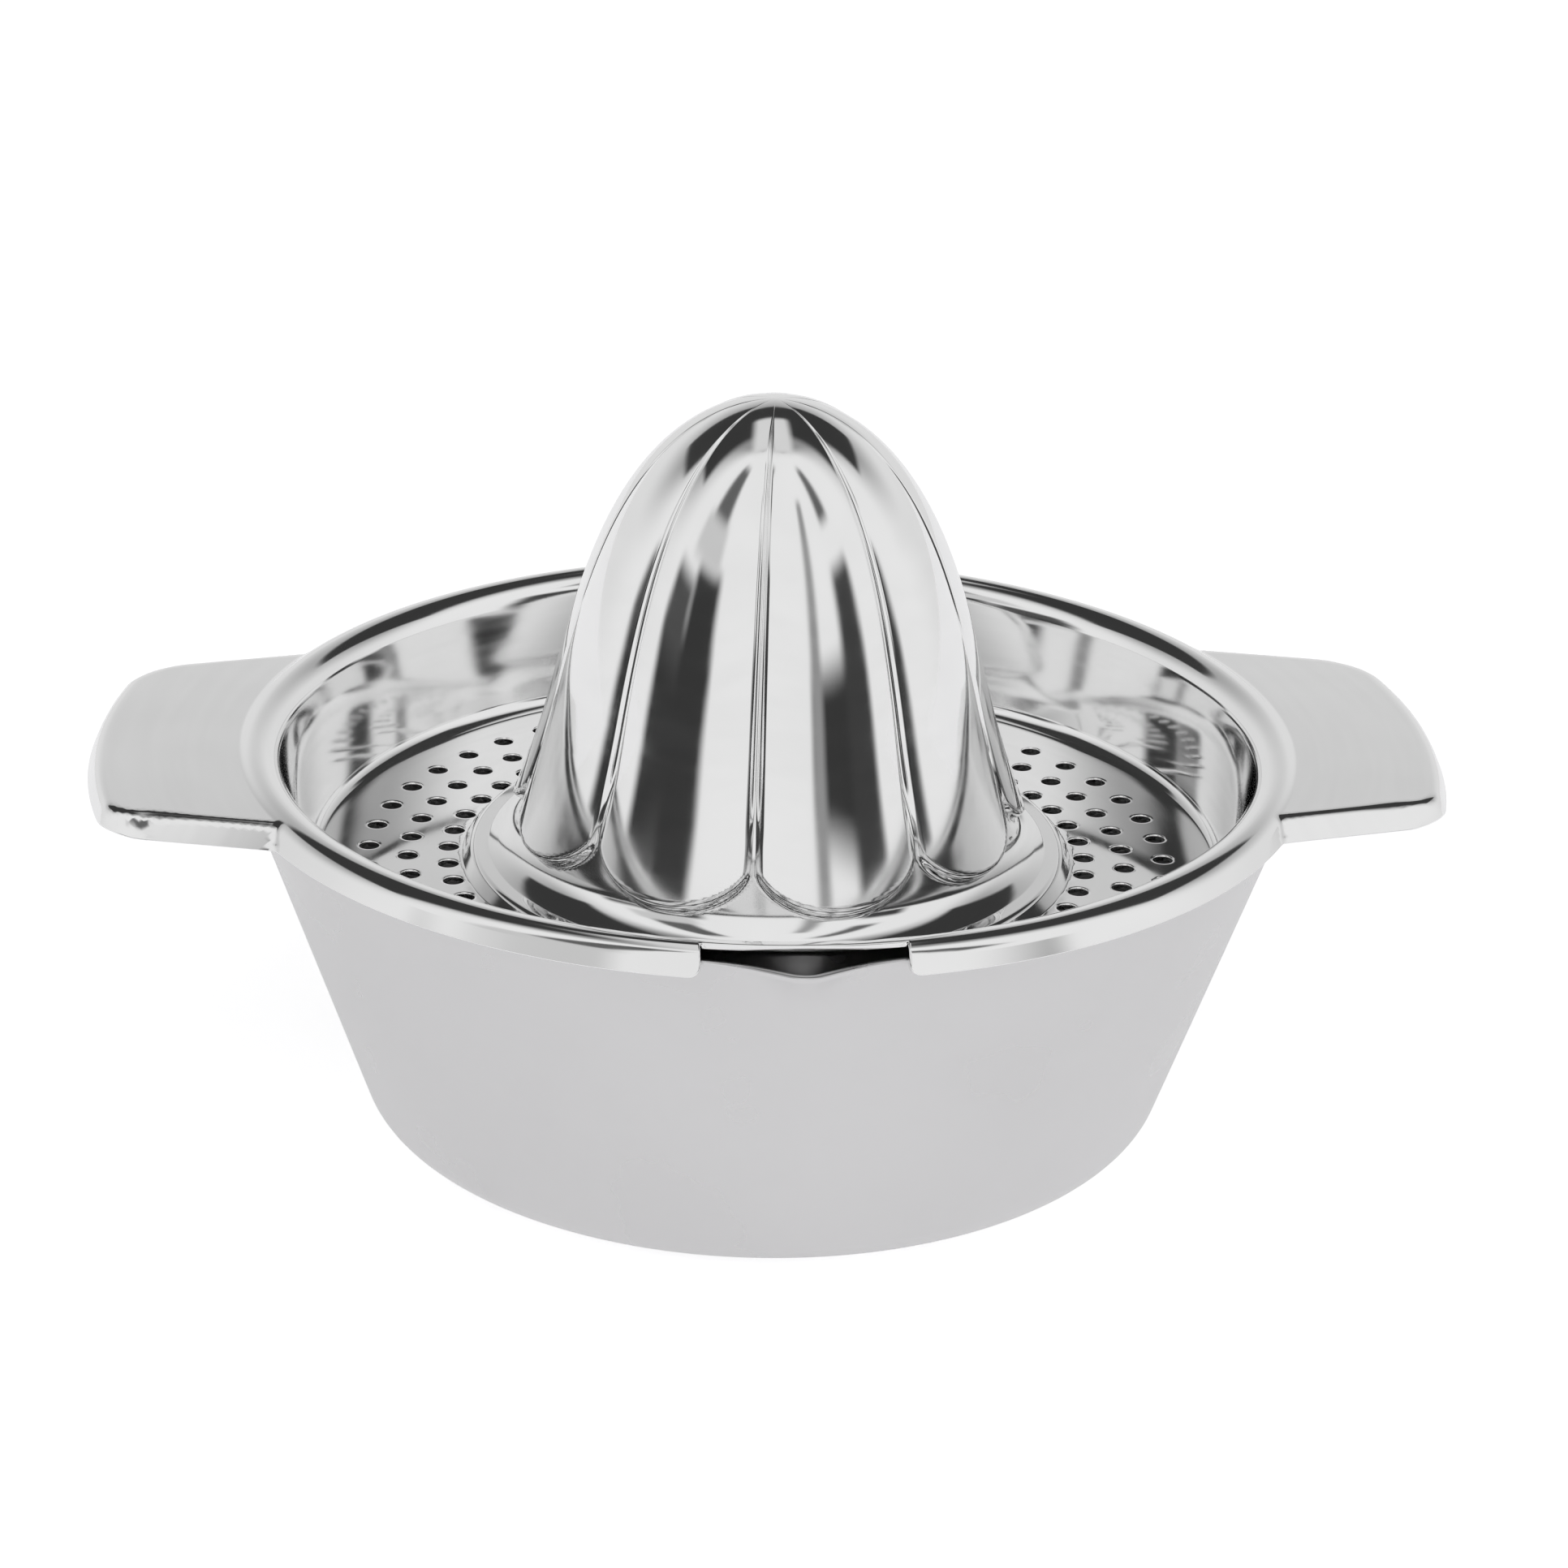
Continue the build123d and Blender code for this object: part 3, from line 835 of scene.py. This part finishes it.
# Azimuth from and to, elevation from and to, softness of the edges, level.
STUDIO_PANELS = (
    (-82, -33, -30, 14, 4, 0.04),
    (-60, -33, 8, 30, 4, 0.04),
    (-82, -60, 8, 24, 4, 0.08),
    (-72, -38, 30, 46, 4, 0.6),
    (-66, -42, 46, 75, 4, 0.12),
    (14, 62, -40, 12, 4, 0.04),
    (14, 22, -30, 60, 3, 0.3),
    (42, 62, -30, 30, 4, 0.05),
    (44, 58, 46, 75, 4, 0.12),
)
# The ceiling and its light, at a unit height: X and Y from and to, softness of the edges, level.
CEILING = (-1.1, 1.1, 0.27, 1.35, 0.08, 0.04)
CEILING_LIGHT = (-0.16, 0.16, 0.0, 0.7, 0.07, 0.7)
LEAST_RISE = 0.02                # of a direction, which keeps its place on the ceiling finite
# Beyond this azimuth the surroundings darken upwards: elevation from and to, level from and to.
BACK_FROM = 105
BACK_SOFT = 20
BACK_RAMP = (12.0, 44.0, 0.76, 0.3)
world = bpy.data.worlds.new("studio")
bpy.context.scene.world = world
world.use_nodes = True
nodes = Nodes(world.node_tree)
background = world.node_tree.nodes["Background"]
direction = nodes.add("ShaderNodeSeparateXYZ")
nodes.link(nodes.add("ShaderNodeTexCoord").outputs["Generated"], direction.inputs[0])
toward_camera = nodes.math("MULTIPLY", direction.outputs["Y"], -1.0)
azimuth = nodes.math("DEGREES", nodes.math("ARCTAN2", direction.outputs["X"], toward_camera))
elevation = nodes.math("DEGREES", nodes.math("ARCSINE", direction.outputs["Z"]))
behind = nodes.math("SUBTRACT", 1.0, nodes.within(azimuth, -BACK_FROM, BACK_FROM, BACK_SOFT))
level = nodes.mix(behind, STUDIO_LEVEL, nodes.ramp(elevation, *BACK_RAMP))
for *limits, soft, panel_level in STUDIO_PANELS:
    level = nodes.mix(nodes.patch(azimuth, elevation, limits, soft), level, panel_level)
rise = nodes.math("MAXIMUM", direction.outputs["Z"], LEAST_RISE)
across = nodes.math("DIVIDE", direction.outputs["X"], rise)
back = nodes.math("DIVIDE", direction.outputs["Y"], rise)
for *limits, soft, ceiling_level in (CEILING, CEILING_LIGHT):
    level = nodes.mix(nodes.patch(across, back, limits, soft), level, ceiling_level)
seen = nodes.add("ShaderNodeLightPath").outputs["Is Camera Ray"]
nodes.link(nodes.mix(seen, level, 1.0), background.inputs["Strength"])
background.inputs["Color"].default_value = (1, 1, 1, 1)

# ---------------------------------------------------------------- camera
SENSOR_WIDTH = 36                # as is the lens, in millimetres
LENS = 92.25
CAMERA_PLACE = (-32.32, -462.18, 234.73)
CAMERA_ANGLES = (4.252, 22.7138, 1.2605)  # degrees to the right of +Y, down, and of roll
camera_data = bpy.data.cameras.new("camera")
camera_data.sensor_width = SENSOR_WIDTH
camera_data.lens = LENS
camera = bpy.data.objects.new("camera", camera_data)
bpy.context.scene.collection.objects.link(camera)
yaw, pitch, roll = (math.radians(angle) for angle in CAMERA_ANGLES)
forward = Vector((math.sin(yaw) * math.cos(pitch), math.cos(yaw) * math.cos(pitch), -math.sin(pitch)))
right = Vector((math.cos(yaw), -math.sin(yaw), 0))
up = right.cross(forward)
camera_x = right * math.cos(roll) + up * math.sin(roll)
camera_y = up * math.cos(roll) - right * math.sin(roll)
turn = Matrix((camera_x, camera_y, -forward)).transposed().to_4x4()
camera.matrix_world = Matrix.Translation(Vector(CAMERA_PLACE) * MM) @ turn
bpy.context.scene.camera = camera
bpy.context.scene.view_settings.view_transform = "Standard"
